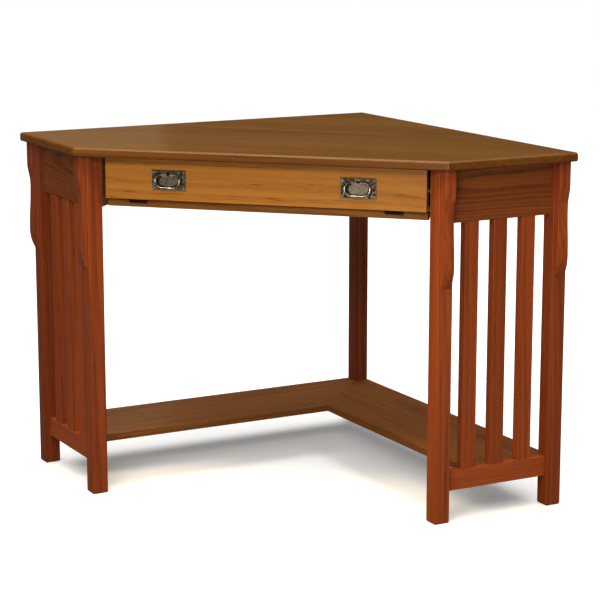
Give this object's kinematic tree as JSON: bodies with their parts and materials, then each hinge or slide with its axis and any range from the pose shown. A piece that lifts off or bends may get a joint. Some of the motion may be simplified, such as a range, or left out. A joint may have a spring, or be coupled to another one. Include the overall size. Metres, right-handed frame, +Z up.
{
  "type": "corner desk",
  "caption": "Five-sided wooden corner desk with slatted side panels, corbels, an L-shaped lower shelf and a drop-front pull-out keyboard tray.",
  "frame": {"origin": "floor level, under the middle of the desktop's bounding box", "axes": "+X to the right along the diagonal front edge, +Y from the front edge towards the room corner, +Z up"},
  "size_m": [1.2522, 0.851, 0.762],
  "materials": {
    "top_oak": "satin lacquer",
    "frame_oak": "satin lacquer",
    "apron_oak": "satin lacquer",
    "shelf_oak": "satin lacquer",
    "inner_wood": "matt stain",
    "dowel_wood": "bare",
    "front_oak": "satin lacquer",
    "tray_wood": "satin lacquer",
    "slide_steel": "zinc plated",
    "hinge_bronze": "antique bronze",
    "pull_pewter": "antique pewter, rubbed",
    "nail_pewter": "rubbed pewter",
    "bracket_zinc": "zinc plated",
    "catch_plastic": "brown plastic"
  },
  "bodies": {
    "desk_frame": {"desktop": "top_oak", "back_leg": "frame_oak", "left_rear_leg": "frame_oak", "left_front_leg": "frame_oak", "left_side_apron": "apron_oak", "left_lower_rail": "frame_oak", "left_rear_slat": "frame_oak", "left_middle_slat": "frame_oak", "left_front_slat": "frame_oak", "left_back_apron": "inner_wood", "left_panel_dowels": "dowel_wood", "left_wall_dowels": "dowel_wood", "left_rear_corbel": "frame_oak", "left_front_corbel": "frame_oak", "left_shelf_board": "shelf_oak", "left_slide_support": "inner_wood", "left_slide_cabinet_member": "slide_steel", "right_rear_leg": "frame_oak", "right_front_leg": "frame_oak", "right_side_apron": "apron_oak", "right_lower_rail": "frame_oak", "right_rear_slat": "frame_oak", "right_middle_slat": "frame_oak", "right_front_slat": "frame_oak", "right_back_apron": "inner_wood", "right_panel_dowels": "dowel_wood", "right_wall_dowels": "dowel_wood", "right_rear_corbel": "frame_oak", "right_front_corbel": "frame_oak", "right_shelf_board": "shelf_oak", "right_slide_support": "inner_wood", "right_slide_cabinet_member": "slide_steel", "top_brackets": "bracket_zinc", "bracket_screws": "bracket_zinc"},
    "tray": {"tray_floor": "tray_wood", "tray_lip": "front_oak", "tray_back": "tray_wood", "left_tray_side": "tray_wood", "left_slide_drawer_member": "slide_steel", "left_hinge_tray_leaf": "hinge_bronze", "left_hinge_pin": "hinge_bronze", "right_tray_side": "tray_wood", "right_slide_drawer_member": "slide_steel", "right_hinge_tray_leaf": "hinge_bronze", "right_hinge_pin": "hinge_bronze", "flap_catches": "catch_plastic"},
    "flap": {"drop_front": "front_oak", "left_hinge_flap_leaf": "hinge_bronze", "left_pull_plate": "pull_pewter", "left_pull_posts": "pull_pewter", "right_hinge_flap_leaf": "hinge_bronze", "right_pull_plate": "pull_pewter", "right_pull_posts": "pull_pewter", "pull_nails": "nail_pewter", "pull_nuts": "bracket_zinc", "strike_plates": "bracket_zinc"},
    "left_slide_middle": {"left_slide_middle_member": "slide_steel"},
    "left_bail": {"left_bail": "pull_pewter"},
    "right_slide_middle": {"right_slide_middle_member": "slide_steel"},
    "right_bail": {"right_bail": "pull_pewter"}
  },
  "joints": [
    {"name": "tray_slide", "type": "slide", "parent": "desk_frame", "child": "tray", "axis": [0, -1, 0], "range_m": [0, 0.3]},
    {"name": "left_middle_slide", "type": "slide", "parent": "desk_frame", "child": "left_slide_middle", "axis": [0, -1, 0], "range_m": [0, 0.15]},
    {"name": "right_middle_slide", "type": "slide", "parent": "desk_frame", "child": "right_slide_middle", "axis": [0, -1, 0], "range_m": [0, 0.15]},
    {"name": "flap_hinge", "type": "hinge", "parent": "tray", "child": "flap", "pos_m": [0, -0.37298, 0.6465], "axis": [1, 0, 0], "range_deg": [0, 90]},
    {"name": "left_bail_swing", "type": "hinge", "parent": "flap", "child": "left_bail", "pos_m": [-0.206, -0.39328, 0.707], "axis": [-1, 0, 0], "range_deg": [-10, 95]},
    {"name": "right_bail_swing", "type": "hinge", "parent": "flap", "child": "right_bail", "pos_m": [0.206, -0.39328, 0.707], "axis": [-1, 0, 0], "range_deg": [-10, 95]}
  ],
  "couplings": [
    {"joint": "left_middle_slide", "follows": "tray_slide", "ratio": 0.5},
    {"joint": "right_middle_slide", "follows": "tray_slide", "ratio": 0.5}
  ]
}
